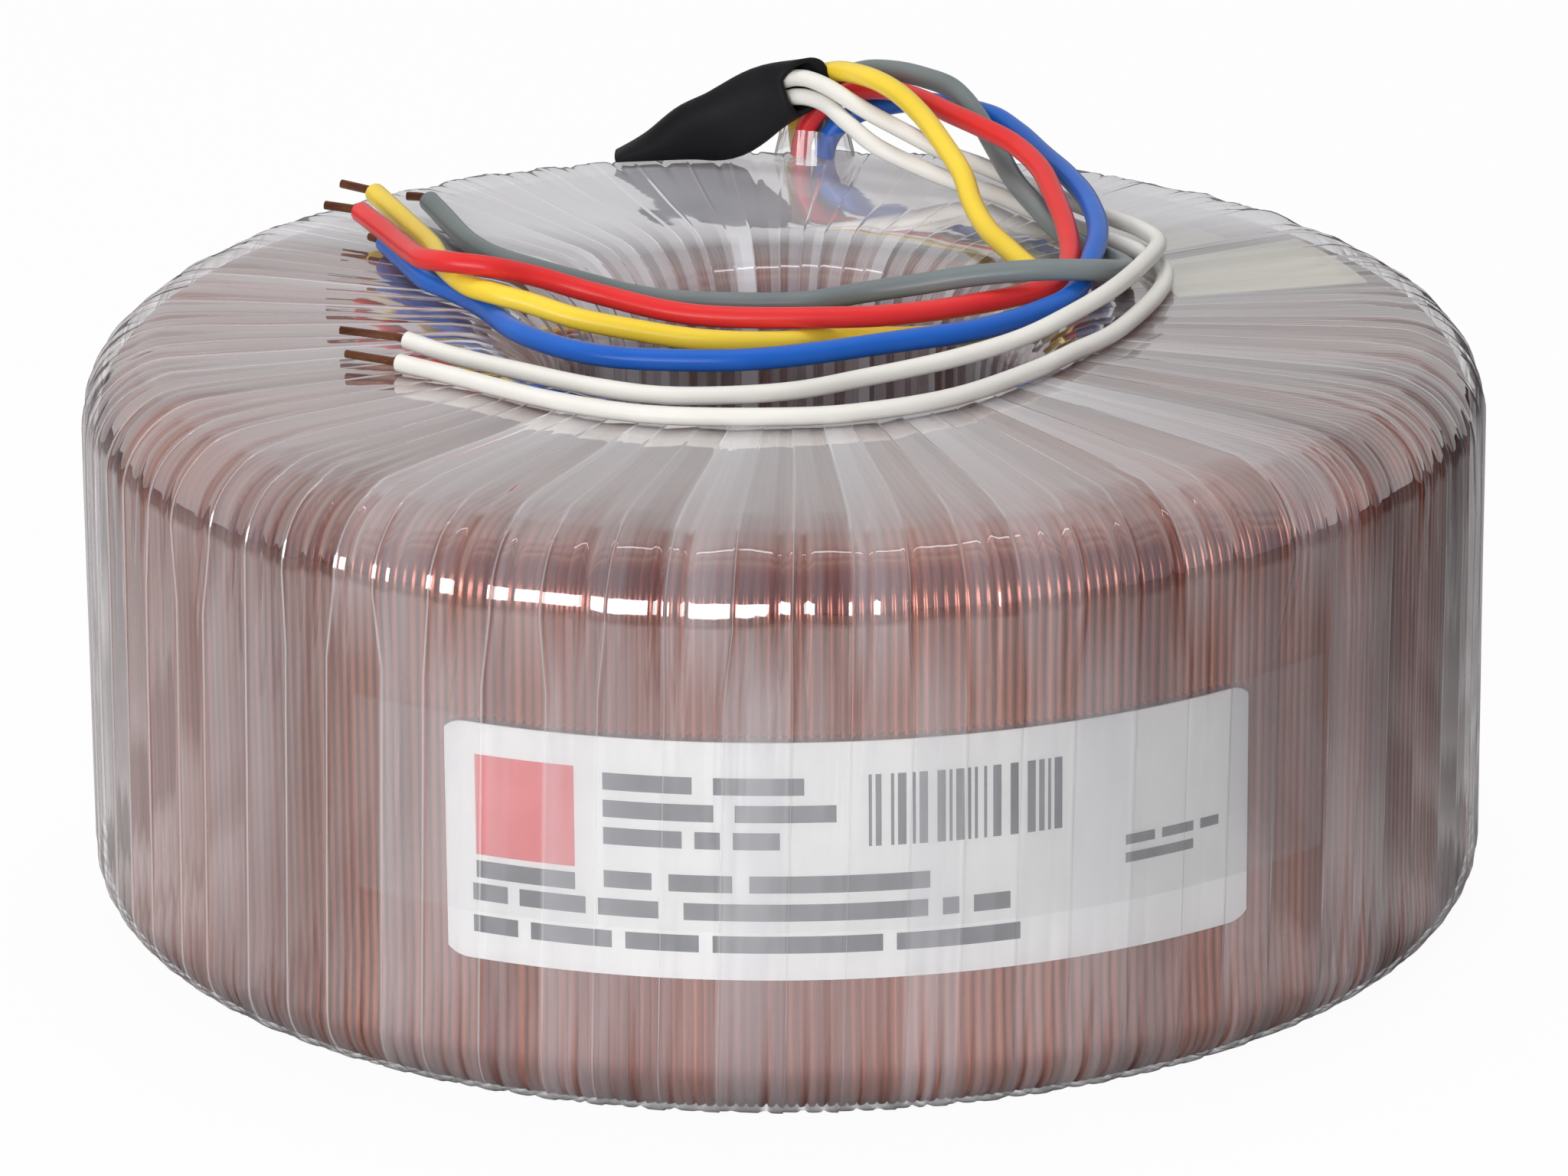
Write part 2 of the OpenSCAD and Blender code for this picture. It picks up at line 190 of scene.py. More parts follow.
def film(name, tint, gloss, roughness, haze, haze_colour, cling_and_painted_shade=None):
    """Clear tape: see-through, with a milky share and a mirror share; where the tape clings the mirror share is
    taken away, painted shade in its folds and beside lap edges.

    haze is a share, or the name of the attribute that holds it; the last argument names the attribute that
    holds how much the tape clings and takes painted shade.
    """
    mat, tree, out = new_material(name)
    clear = add(tree, "ShaderNodeBsdfTransparent", {"Color": (*tint, 1.0)})
    milk = add(tree, "ShaderNodeBsdfDiffuse", {"Color": (*haze_colour, 1.0)})
    mirror = add(tree, "ShaderNodeBsdfGlossy", {
        "Color": (0.98, 0.97, 0.97, 1.0), "Roughness": roughness,
        "Normal": relief(tree, noise(tree, 320.0), 0.05, 0.0004)})
    if isinstance(haze, str):
        haze = shared_attribute(tree, haze)
    body = mix_shaders(tree, haze, clear, milk)
    share = mirror_share(tree, gloss)
    if cling_and_painted_shade:
        # painted shade: the mirror share goes where the tape clings
        kept = maths(tree, "MULTIPLY_ADD", shared_attribute(tree, cling_and_painted_shade), -0.85, 1.0, clamp=True)
        share = maths(tree, "MULTIPLY", share, kept)
    tree.links.new(mix_shaders(tree, share, body, mirror).outputs[0], out.inputs["Surface"])
    return mat


def winding_material(name):
    """Enamelled copper, a little darker and lighter from turn to turn, and darker in the grooves between turns
    as painted shade.
    """
    mat, tree, out = new_material(name)
    tone = ramp(tree, shared_attribute(tree, "turn"), [
        (0.0, (0.16, 0.05, 0.045)), (0.5, (0.40, 0.14, 0.10)), (1.0, (0.80, 0.33, 0.22))])
    shader = add(tree, "ShaderNodeBsdfPrincipled", {
        "Base Color": tone, "Metallic": 0.8, "Roughness": 0.27, "Coat Weight": 0.4, "Coat Roughness": 0.15})
    tree.links.new(shader.outputs["BSDF"], out.inputs["Surface"])
    return mat


CLEAR = (0.97, 0.97, 0.98)
MATS = {
    "steel": plain("steel_strip", (0.3, 0.31, 0.33), (0.42, 0.43, 0.45), roughness=0.35,
                   grain=1500.0, bump=0.2, metallic=0.9),
    "core_tape": plain("core_tape", (0.8, 0.77, 0.68), (0.88, 0.86, 0.79), roughness=0.6),
    "primary": bare_copper("primary_copper", (0.3, 0.09, 0.05), (0.45, 0.16, 0.09)),
    "barrier": plain("barrier_tape", (0.72, 0.63, 0.4), (0.8, 0.73, 0.5), roughness=0.4),
    "secondary": bare_copper("inner_secondary_copper", (0.35, 0.1, 0.06), (0.5, 0.18, 0.1)),
    "winding": winding_material("enamelled_copper"),
    "collar": film("collar_film", CLEAR, gloss=0.12, roughness=0.2, haze=0.12, haze_colour=(0.8, 0.8, 0.82)),
    "strip": film("clear_strip", grey(0.98), gloss=0.0, roughness=0.1, haze=0.07,
                  haze_colour=(0.75, 0.75, 0.76)),
    "anchor": film("anchor_film", (0.86, 0.85, 0.68), gloss=0.05, roughness=0.12, haze=0.85,
                   haze_colour=(0.82, 0.79, 0.55)),
    "outer_film": film("outer_film", CLEAR, gloss=0.22, roughness=0.045, haze="haze",
                       haze_colour=(0.71, 0.71, 0.75), cling_and_painted_shade="cling_and_painted_shade"),
    "film_edge": film("film_edge", grey(0.95), gloss=0.25, roughness=0.15, haze=0.3, haze_colour=grey(0.88)),
    "label": paper("label_paper", (0.83, 0.83, 0.81), (0.87, 0.87, 0.84), roughness=0.45),
    "print_dark": paper("print_dark", (0.12, 0.13, 0.14), (0.17, 0.18, 0.19)),
    "print_red": paper("print_red", (0.72, 0.13, 0.13), (0.78, 0.17, 0.17)),
    "black": plain("black_sleeving", (0.006, 0.006, 0.007), (0.014, 0.014, 0.015), roughness=0.5,
                   grain=500.0, bump=0.35, specular=0.15),
    "white": sleeving("white", (0.66, 0.65, 0.60), (0.72, 0.71, 0.66), roughness=0.35),
    "yellow": sleeving("yellow", (0.74, 0.53, 0.035), (0.79, 0.58, 0.055)),
    "red": sleeving("red", (0.60, 0.02, 0.02), (0.68, 0.035, 0.035)),
    "blue": sleeving("blue", (0.008, 0.09, 0.42), (0.012, 0.12, 0.5)),
    "grey": sleeving("grey", (0.13, 0.155, 0.155), (0.17, 0.195, 0.195)),
    "wire_end": plain("wire_end", (0.10, 0.035, 0.018), (0.22, 0.09, 0.045), roughness=0.4,
                      grain=1600.0, bump=0.5, metallic=0.7),
}


def set_material(obj, name):
    obj.data.materials.clear()
    obj.data.materials.append(MATS[name])


# ---------- mesh helpers ----------

def make_mesh(name, points, faces, materials, slots=None, smooth=True, attributes=None):
    """Points in millimetres, riding on the root body."""
    mesh = bpy.data.meshes.new(name)
    mesh.from_pydata((np.asarray(points) * MM).tolist(), [], faces)
    for material in materials:
        mesh.materials.append(MATS[material])
    if smooth:
        mesh.polygons.foreach_set("use_smooth", [True] * len(mesh.polygons))
    if slots is not None:
        mesh.polygons.foreach_set("material_index", slots)
    for key, values in (attributes or {}).items():
        mesh.attributes.new(key, "FLOAT", "POINT").data.foreach_set("value", values)
    mesh.update()
    obj = link_object(name, mesh)
    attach(obj, "root")
    return obj


def profile(depth, arc_steps, flat_steps):
    """Closed outline of the ring section at a depth: rows of radius, height, normal, share of the way round.

    It starts at the top of the outer wall and runs over the shoulder, the top, the rim of the
    hole, down the hole, under the throat, the bottom and the foot.
    """
    radii = [max(r - depth, 1.0) for r in (SHOULDER_R, RIM_R, THROAT_R, FOOT_R)]
    inner, outer, top = HOLE_R + depth, OUTER_R - depth, HEIGHT - depth
    centres = [
        (outer - radii[0], top - radii[0]), (inner + radii[1], top - radii[1]),
        (inner + radii[2], depth + radii[2]), (outer - radii[3], depth + radii[3]),
    ]
    rows = []
    for i, (radius, centre) in enumerate(zip(radii, centres)):
        for k in range(arc_steps[i] + 1):
            a = math.radians(90 * i + 90 * k / arc_steps[i])
            normal = (math.cos(a), math.sin(a))
            rows.append((centre[0] + radius * normal[0], centre[1] + radius * normal[1], *normal))
        last = rows[-1]
        next_radius, next_centre = radii[(i + 1) % 4], centres[(i + 1) % 4]
        goal = (next_centre[0] + next_radius * last[2], next_centre[1] + next_radius * last[3])
        for k in range(1, flat_steps[i]):
            t = k / flat_steps[i]
            rows.append((last[0] + (goal[0] - last[0]) * t, last[1] + (goal[1] - last[1]) * t,
                         last[2], last[3]))
    rows = np.array(rows)
    gaps = np.linalg.norm(np.roll(rows[:, :2], -1, axis=0) - rows[:, :2], axis=1)
    share = np.concatenate([[0.0], np.cumsum(gaps)[:-1]]) / gaps.sum()
    return np.column_stack([rows, share])


def around(radius, height, angle):
    """Points at angles from the front, turning towards +X."""
    return np.stack([radius * np.sin(angle), -radius * np.cos(angle), height], axis=-1)


def skin(rows, depth, angle):
    """Points at a depth below the outline, for each angle and row."""
    radius = rows[None, :, 0] - rows[None, :, 2] * depth
    height = rows[None, :, 1] - rows[None, :, 3] * depth
    return around(radius, height, angle).reshape(-1, 3)


def grid_faces(n_u, n_v, shift):
    """Quads over a closed grid; the last column joins the first one a shift further on."""
    i, j = np.meshgrid(np.arange(n_u), np.arange(n_v), indexing="ij")
    i2 = (i + 1) % n_u
    j2 = (j + 1) % n_v
    carry = np.where(j == n_v - 1, shift, 0)
    corners = [i * n_v + j, i2 * n_v + j, ((i2 + carry) % n_u) * n_v + j2, ((i + carry) % n_u) * n_v + j2]
    return np.stack(corners, axis=-1).reshape(-1, 4).tolist()


def bell(x, centre, width):
    return np.exp(-((x - centre) / width) ** 2)


def smooth_noise(rng, x, y, cells_x, cells_y):
    """Value noise over the unit square, smooth between its cells; it closes on itself in x."""
    table = rng.uniform(-1.0, 1.0, (cells_x, cells_y + 2))
    fx, fy = (x % 1.0) * cells_x, np.clip(y, 0, 1) * cells_y
    ix, iy = np.floor(fx).astype(int) % cells_x, np.floor(fy).astype(int)
    tx, ty = fx - np.floor(fx), fy - iy
    tx, ty = tx * tx * (3 - 2 * tx), ty * ty * (3 - 2 * ty)
    jx = (ix + 1) % cells_x
    low = table[ix, iy] * (1 - tx) + table[jx, iy] * tx
    high = table[ix, iy + 1] * (1 - tx) + table[jx, iy + 1] * tx
    return low * (1 - ty) + high * ty


# ---------- cords ----------

LEAD_D, WHITE_D = 2.2, 1.8
LEADS = {
    "white_1": [
        (-1.5, 57, 67.3), (1.5, 55.6, 68.7), (4.5, 53.3, 68.5), (9, 50, 66.5), (13.5, 48, 64.5),
        (17, 46.5, 63), (21, 44.5, 62), (25.5, 39.5, 61.3), (30, 34, 61), (34, 28, 61), (36.5, 22.5, 61.5),
        (38, 15, 62.2), (36, 5.5, 62.8), (32.5, -3.5, 62.8), (28, -9.5, 62), (23, -14, 61),
        (16, -18.5, 60.3), (8, -23, 60), (0, -27.5, 60), (-10.5, -28.5, 60), (-18, -25.5, 60),
        (-25, -20.5, 60), (-32.5, -14.5, 60), (-37, -11, 60.5),
    ],
    "white_2": [
        (-1.5, 57, 65.2), (1.5, 55.7, 66.6), (4.4, 53.6, 66.5), (7, 50, 65.2), (10, 47, 63.5),
        (15, 45, 61.5), (18.5, 43.5, 60.5), (22.5, 40.5, 60), (26, 34.5, 60), (29.5, 29, 60), (33, 24, 60),
        (36.5, 19, 60), (38.5, 13, 60), (37.5, 4.5, 60), (33, -8, 60), (28.5, -15, 60), (24, -21.5, 60),
        (16.5, -29.5, 60), (8, -34, 60), (0, -35.5, 60), (-12.5, -34.5, 60), (-22.5, -29.5, 60),
        (-32, -21.5, 60), (-37.5, -17, 60),
    ],
    "yellow": [
        (2, 62, 59.1), (1.8, 62, 61.3), (1.8, 61.5, 64), (3, 60, 66.8), (5.5, 56.5, 69.1), (9, 51, 70),
        (12, 46.5, 69.6), (14.5, 41.5, 68.5), (16.5, 36.5, 67), (18.5, 31.5, 65), (19.5, 27, 63),
        (21, 22.5, 61.5), (23.5, 17, 60.5), (26, 11.5, 59.3), (25, 6, 58), (20.5, 1.5, 57.3),
        (13, -1, 57.3), (6, -1.5, 57.6), (0, -5.5, 58.3), (-8, -7.5, 59.2), (-15.5, -6, 60),
        (-20.5, -5, 60.8), (-25, -3.2, 61.8), (-28.5, -1.8, 62.4), (-31.5, 1.2, 62.5), (-34, 8, 62.5),
        (-35.5, 15.3, 62.4), (-37.5, 22, 62.2), (-40, 29.5, 62.2), (-42, 35, 62.3),
    ],
    "red": [
        (2, 59.5, 59.1), (2.3, 59.5, 61), (3.3, 59.2, 63.3), (5.2, 58.5, 65.4), (8, 56.8, 66.9),
        (11.5, 53.3, 67.9), (15, 48.5, 68), (17.8, 44.5, 67.7), (20.8, 41, 67.2), (24, 37, 66.5),
        (26.5, 31.5, 65.5), (27.8, 25.5, 64.2), (28.8, 19, 62.8), (29, 12.5, 61.4), (27.5, 6.8, 60.6),
        (23, 2.8, 60.3), (13.5, -2, 60.2), (5, -3.5, 60.2), (-8.5, -3, 60.4), (-18.5, 1, 61.5),
        (-24.5, 1.5, 63.2), (-29, 0.2, 64.6), (-33, 1, 64.9), (-35.8, 4, 64.4), (-37.2, 8, 63.9),
        (-38.7, 13, 63.5), (-40.5, 18.5, 63.3), (-43, 25, 63.2),
    ],
    "blue": [
        (4.5, 59, 59.1), (4.9, 59, 60.8), (5.9, 58.9, 62.4), (7.7, 58.5, 63.8), (10.5, 57.8, 64.9),
        (15, 56, 65.8), (21.5, 50.5, 66), (24.5, 46, 65.4), (27, 40, 64.6), (29.3, 33.5, 64.2),
        (31.2, 26, 63.7), (32, 18, 63), (31.2, 10.5, 62.2), (29, 2.5, 60.7), (25, -2.5, 60.2),
        (19, -7.5, 60), (10.5, -11.5, 60), (0, -16, 60), (-8, -17, 60), (-18, -15, 60), (-25.5, -8, 60),
        (-30, 1.2, 60.2), (-33, 6.5, 60.2), (-36, 11, 60.2), (-38, 16.5, 60.2), (-40.5, 24, 60.2),
    ],
    "grey": [
        (4.6, 61.6, 59.1), (4.6, 61.7, 61.5), (5, 61.8, 64.5), (6.3, 60.8, 67), (9, 58.3, 68.7),
        (12, 55.8, 69.3), (15, 53.5, 69.2), (18, 51, 68.6), (20.3, 47.5, 66.8), (22.5, 42, 64.2),
        (24, 36.5, 62.8), (26, 29, 62.2), (28.5, 23, 61), (32, 18, 60.3), (34.3, 13, 60.5), (34, 7.5, 61.6),
        (31, 3.2, 62.9), (25.5, 2.3, 63.2), (19, 2.5, 62.6), (13.5, 3, 61.6), (8, 3, 60.8), (2, 1.5, 60.3),
        (-6, 2.5, 60), (-13.5, 4.5, 60), (-21, 11, 60), (-28.5, 18, 60.2), (-31.3, 22.5, 60.2),
        (-33, 27, 60.2), (-35, 33, 60.5), (-36.5, 36.5, 61),
    ],
}


def spline(points, steps):
    """Catmull-Rom curve through the points, as the solids follow it."""
    p = [Vector(q) for q in points]
    p = [2 * p[0] - p[1]] + p + [2 * p[-1] - p[-2]]
    line = []
    for a, b, c, d in zip(p, p[1:], p[2:], p[3:]):
        for k in range(steps):
            t = k / steps
            line.append(0.5 * (2 * b + (c - a) * t + (2 * a - 5 * b + 4 * c - d) * t * t
                               + (3 * b - a - 3 * c + d) * t ** 3))
    return line + [p[-2]]


def make_lead(name):
    white = name.startswith("white")
    colour = "white" if white else name
    diameter = WHITE_D if white else LEAD_D
    line = spline(LEADS[name], 8)
    curve = bpy.data.curves.new("sleeve_" + name, "CURVE")
    curve.dimensions = "3D"
    curve.bevel_depth = diameter / 2 * MM
    curve.bevel_resolution = 5
    curve.use_fill_caps = True
    path = curve.splines.new("POLY")
    path.points.add(len(line) - 1)
    for point, place in zip(path.points, line):
        point.co = (*(place * MM), 1.0)
    path.use_smooth = True
    curve.materials.append(MATS[colour])
    obj = link_object("sleeve_" + name, curve)
    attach(obj, "root")
    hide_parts("lead_" + name)
    set_material(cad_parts["end_" + name], "wire_end")


for lead_name in LEADS:
    make_lead(lead_name)


# ---------- copper turns ----------

TURNS = 430
TURN_SAMPLES = 4          # points across one turn
WINDING_DEPTH = 1.62      # of the grooves below the outside of the tape
RIB = 0.42                # height of a rib as a share of the pitch
TURN_GROUPS = 120         # places round the ring between which the tone drifts
FOOT_LIFT = 1.05          # how much closer the turns lie under the tape round the foot


def make_winding():
    """Outer layer of turns: one ribbed skin, each rib one turn of wire round the ring."""
    rng = np.random.default_rng(11)
    rows = profile(WINDING_DEPTH, (9, 7, 6, 7), (6, 5, 6, 8))
    drift = np.cumsum(rng.uniform(-0.12, 0.12, TURNS))
    drift -= np.linspace(0, drift[-1], TURNS)
    turn = np.repeat(np.arange(TURNS), TURN_SAMPLES)
    phase = np.tile(np.arange(TURN_SAMPLES) / TURN_SAMPLES, TURNS)
    u = (turn + phase + drift[turn] * (0.5 - 0.5 * np.cos(2 * np.pi * phase))) / TURNS
    lean = 0.25 * np.sin(2 * np.pi * rows[:, 4]) / TURNS
    angle = 2 * np.pi * (u[:, None] + lean[None, :])

    pitch = 2 * np.pi * rows[:, 0] / TURNS
    rib = np.abs(np.sin(np.pi * phase)) ** 0.7
    size = 1.0 + rng.uniform(-0.12, 0.12, TURNS)
    lift = rib[:, None] * (RIB * pitch[None, :]) * size[turn][:, None]
    foot = bell(rows[:, 1], 1.5, 5.0) * np.clip((rows[:, 0] - OUTER_R + 12) / 4, 0, 1)
    depth = RIB * pitch.max() - lift - FOOT_LIFT * foot[None, :]

    faces = grid_faces(TURNS * TURN_SAMPLES, len(rows), 0)
    group = np.interp(np.arange(TURNS), np.linspace(0, TURNS, TURN_GROUPS), rng.uniform(-0.2, 0.2, TURN_GROUPS))
    shade = 0.72 + group + rng.uniform(-0.12, 0.12, TURNS)
    # each turn's tone, darker towards the grooves between turns as painted shade
    tone = np.repeat(np.clip(shade[turn] * (0.6 + 0.4 * rib), 0, 1), len(rows))
    return make_mesh("copper_turns", skin(rows, depth, angle), faces, ["winding"], attributes={"turn": tone})


copper = make_winding()
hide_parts("secondary_winding_2")


# ---------- lapped clear tape ----------

LAPS = 76
# samples across a lap, as shares of its width: the free edge, then the face of the tape
LAP_PHASES = np.array([0.0, 0.015, 0.05, 0.12, 0.19, 0.26, 0.33, 0.4, 0.47, 0.54, 0.61, 0.68, 0.75, 0.82,
                       0.89, 0.95])
LAP_EDGE = 0.01           # below this share lies the free edge
LAP_STEP = 0.15           # how far the tape beside an edge lies below it
DEEPEST = 0.78            # the tape stays above this depth
FOLD_REACH, FOLD_REACH_ODDS = [0.35, 0.5, 0.7, 1.2], [0.35, 0.3, 0.25, 0.1]


def shoulder_share(rows):
    """All of it on the rounded top edge, fading down the wall and in over the top."""
    radius, height = rows[:, 0], rows[:, 1]
    side = np.where(radius > TOP_END - 0.01, np.exp(-np.clip(WALL_END - height, 0, None) / 9.0), 0.0)
    top = np.where(height > HEIGHT - 0.6, np.exp(-np.clip(TOP_END - radius, 0, None) / 7.0), 0.0)
    return np.maximum(side, top)


def foot_share(rows):
    low = (rows[:, 0] > OUTER_R - FOOT_R - 3) & (rows[:, 1] < 20)
    return np.where(low, np.exp(-np.abs(rows[:, 1] - 2.0) / 5.0), 0.0)


def gather_folds(rng, rows, lap, phase, on_top, depth):
    """Folds where the tape gathers over the shoulder, a few of them long, and over the foot.

    They deepen the depth that is given. The tape clings to the wire in them and beside some lap edges, and is
    darkened there as painted shade: how much is returned.
    """
    height = rows[:, 1]
    shoulder, foot = shoulder_share(rows), foot_share(rows)
    cling_and_painted_shade = np.zeros_like(depth)
    for k in range(LAPS):
        own = lap == k
        strength, end = 0.2 + 0.8 * rng.uniform(0, 1) ** 2, rng.uniform(4, 55)
        upright = np.where(rows[:, 0] > OUTER_R - 6, np.clip((height - (HEIGHT - 6 - end)) / 6, 0, 1), 0)
        beside = bell(phase[own], 0.05, 0.045)
        # painted shade in a line beside the lap edge, where the tape clings
        cling_and_painted_shade[own] += strength * beside[:, None] * (upright * (height < HEIGHT - 1.5))[None, :]
        for place in np.sort(rng.uniform(0.15, 0.85, rng.integers(1, 3))):
            size = rng.uniform(0.12, 0.42)
            width = rng.uniform(0.05, 0.09)
            reach = rng.choice(FOLD_REACH, p=FOLD_REACH_ODDS)
            across = size * bell(phase[own], place, width)[:, None]
            along = shoulder ** (1 / reach)
            depth[own] += across * along[None, :]
            # painted shade in the fold, off the top
            cling_and_painted_shade[own] += 1.6 * across * (along * (1 - on_top))[None, :]
        for place in (0.3, 0.7):
            size = rng.uniform(0.15, 0.5)
            fold = size * bell(phase[own], place + rng.uniform(-0.1, 0.1), 0.06)[:, None] * foot[None, :]
            depth[own] += fold
            # painted shade, strongest in the folds round the foot
            cling_and_painted_shade[own] += 4 * fold
    return np.clip(cling_and_painted_shade, 0, 1)


def make_film():
    """One tape wound through the hole in laps: stepped, folded and rippled, milkier where layers gather."""
    rng = np.random.default_rng(5)
    rows = profile(0.0, (14, 8, 5, 8), (10, 5, 4, 6))
    radius, height, share = rows[:, 0], rows[:, 1], rows[:, 4]
    lap = np.repeat(np.arange(LAPS), len(LAP_PHASES))
    phase = np.tile(LAP_PHASES, LAPS)
    wobble = rng.uniform(-0.16, 0.16, LAPS)
    slide = wobble[lap] * (1 - phase) + np.roll(wobble, -1)[lap] * phase
    angle = 2 * np.pi * ((lap + phase + slide)[:, None] + share[None, :]) / LAPS

    # steps at the lap edges; each lap lies nearly flat between them and leans a little its own way
    on_top = (height > HEIGHT - 0.6) & (radius > HOLE_R + 3)
    step = np.where(phase < LAP_EDGE, 0.0, LAP_STEP * (1 - phase) ** 1.2)
    depth = step[:, None] * np.where(on_top, 0.5, 1.0)[None, :]
    depth += 0.07 * np.sin(np.pi * phase)[:, None] * (radius > OUTER_R - 1)[None, :]
    lean = rng.uniform(-0.16, 0.16, LAPS)
    depth += (lean[lap] * (phase - 0.5))[:, None] * (1 - foot_share(rows))[None, :]
    # the cling also carries painted shade for the folds and lap edges
    cling_and_painted_shade = gather_folds(rng, rows, lap, phase, on_top, depth)

    # slow waves in the tape, and short ripples on rings at both ends of the shoulder
    around_share = (angle / (2 * np.pi)) % 1.0
    along = np.broadcast_to(share[None, :], angle.shape)
    rear = np.clip((-np.cos(angle) * radius[None, :] - 25) / 12, 0, 1)
    waves = smooth_noise(rng, around_share, along, 60, 26)
    depth += waves * np.where(on_top[None, :], 0.06 + 0.12 * rear, 0.02)
    ring = bell(radius, 63.5, 4.0) * (height > HEIGHT - 6)
    ring += 0.4 * bell(height, WALL_END - 1, 3.0) * (radius > OUTER_R - 2)
    ripples = smooth_noise(rng, around_share, along, 110, 60)
    depth += (0.2 + 0.25 * ripples) * ring[None, :]
    depth = np.clip(depth + 0.04, 0.0, DEEPEST - 0.36 * foot_share(rows)[None, :])
    depth[:, height < 0.01] = 0.0

    # the laps lie closer towards the hole, so more layers make it milkier there
    base = 0.02 + 0.16 * rng.uniform(0, 1, LAPS) ** 2.5
    overlap = rng.uniform(0.25, 0.7, LAPS)
    layers = base[lap] + np.where(phase < overlap[lap], 0.05, 0.0)
    haze = layers[:, None] * (OUTER_R / radius)[None, :] ** 1.5 + 0.04 * on_top[None, :]
    # upright streaks where the tape stands clear of the wire
    streaks = smooth_noise(rng, around_share, along, 280, 4)
    haze += 0.045 * streaks * np.where(on_top, 0.3, 1.0)[None, :]
    # much milkier over the far side of the top: a painted sheen for the pale backdrop it mirrors there
    haze += 0.75 * rear * on_top[None, :]
    haze += np.where((phase < 0.05)[:, None] & on_top[None, :], 0.2, 0.0)
    # less milky where the tape clings, and darker there as painted shade
    haze = np.clip(haze * (1 - 0.9 * cling_and_painted_shade), 0.0, 0.85)

    edge = (phase < LAP_EDGE)[:, None] & ~on_top[None, :]
    faces = grid_faces(len(phase), len(rows), len(LAP_PHASES))
    return make_mesh("clear_wrap", skin(rows, depth, angle), faces, ["outer_film", "film_edge"],
                     slots=edge.reshape(-1).astype(np.int32),
                     attributes={"haze": haze.reshape(-1), "cling_and_painted_shade": cling_and_painted_shade.reshape(-1)})


wrap = make_film()
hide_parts("outer_wrap", "inner_wrap")


# ---------- CAD nodes that keep their shape ----------

for node, material in {
    "core": "steel", "core_tape": "core_tape", "primary_winding": "primary", "winding_barrier": "barrier",
    "secondary_winding_1": "secondary", "anchor_tape": "anchor", "start_tape": "anchor", "label": "label",
}.items():
    set_material(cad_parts[node], material)


# ---------- print on the label, and the strip over it ----------

LABEL_FACE_R = OUTER_R - 0.97
LABEL_LEFT, LABEL_BOTTOM = -27.7, 15.2      # degrees from the front, height
PRINT_LIFT = 0.012
DARK, RED = 0, 1                            # slots of the print
LINE_H, SMALL_LINE_H = 1.7, 1.0
# bars in the place of words: x, y, height, widths, gap
PRINT_LINES = [
    (16.0, 18.4, LINE_H, (8.5, 8.5), 2.0),
    (16.0, 15.7, LINE_H, (10.5, 9.5), 2.0),
    (16.0, 13.0, LINE_H, (7.5, 2.4, 4.4), 1.2),
    (16.0, 8.7, LINE_H, (4.6, 6.0, 17.0), 1.6),
    (2.8, 5.9, LINE_H, (3.6, 6.6, 5.8), 1.2),
    (23.6, 5.9, LINE_H, (23.0, 1.6, 3.6), 1.4),
    (2.8, 2.7, LINE_H, (4.6, 8.0, 7.0, 16.0, 12.0), 1.3),
    (66.5, 10.4, SMALL_LINE_H, (3.2, 3.6, 2.2), 0.8),
    (66.5, 8.6, SMALL_LINE_H, (7.6,), 0.8),
]
STRIP_LEFT, STRIP_RIGHT = -36.2, 47.8       # degrees
STRIP_LOW, STRIP_HIGH = 4.8, 24.2           # above the label's lower edge
STRIP_LIFT = 0.06


def patch(points, faces, slots, x0, x1, y0, y1, slot):
    """Rectangle of print, in millimetres from the label's lower left corner, bent round the ring."""
    steps = max(2, int(x1 - x0))
    base = len(points)
    for i in range(steps + 1):
        x = x0 + (x1 - x0) * i / steps
        a = math.radians(LABEL_LEFT) + x / LABEL_FACE_R
        for y in (y0, y1):
            points.append(around(LABEL_FACE_R + PRINT_LIFT, LABEL_BOTTOM + y, a))
    for i in range(steps):
        k = base + 2 * i
        faces.append((k, k + 2, k + 3, k + 1))
        slots.append(slot)


def make_print():
    bars = [(3.2, 13.2, 10.5, 20.5, RED), (3.2, 13.2, 8.2, 9.9, DARK)]
    for x, y, height, widths, gap in PRINT_LINES:
        for width in widths:
            bars.append((x, x + width, y, y + height, DARK))
            x += width + gap
    rng = random.Random(3)
    x = 41.0
    while x < 60.0:
        width = rng.choice((0.3, 0.3, 0.55, 0.8))
        bars.append((x, x + width, 13.2, 20.3, DARK))
        x += width + rng.choice((0.35, 0.35, 0.6, 0.9))
    points, faces, slots = [], [], []
    for bar in bars:
        patch(points, faces, slots, *bar)
    return make_mesh("label_print", points, faces, ["print_dark", "print_red"], slots=slots, smooth=False)


def make_strip():
    """Clear adhesive strip over the label, as one skin just outside it."""
    points, faces = [], []
    start = math.radians(STRIP_LEFT - LABEL_LEFT) * LABEL_FACE_R
    width = math.radians(STRIP_RIGHT - STRIP_LEFT) * LABEL_FACE_R
    patch(points, faces, [], start, start + width, STRIP_LOW, STRIP_HIGH, 0)
    points = np.array(points)
    points[:, :2] *= 1 + STRIP_LIFT / LABEL_FACE_R
    return make_mesh("clear_label_strip", points, faces, ["strip"])


label_print = make_print()

strip = make_strip()
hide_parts("label_strip")


# ---------- black sleeve and film collar ----------

SLEEVE_LINE = [
    (-17.5, 58.5, 59.5), (-13.8, 58.3, 60.6), (-9.7, 58.3, 62.1), (-5.7, 58, 63.2), (-1.6, 57, 66),
    (2.4, 55, 67.9),
]
SLEEVE_HEIGHTS = [1, 3.2, 6.2, 7.8, 7.2, 5.6]
SLEEVE_W, SLEEVE_WALL = 3.8, 0.5
SLEEVE_LIP = 2.4          # how far the far wall reaches out at the mouth
SLEEVE_STEPS = 6          # rings from one point of its line to the next
BORE_RINGS = 14           # how many of them have an inside
COLLAR_CENTRE = (3.5, 60.3)
COLLAR_H = 3.6
COLLAR_BASE_R, COLLAR_TOP_R = 4.25, 3.4


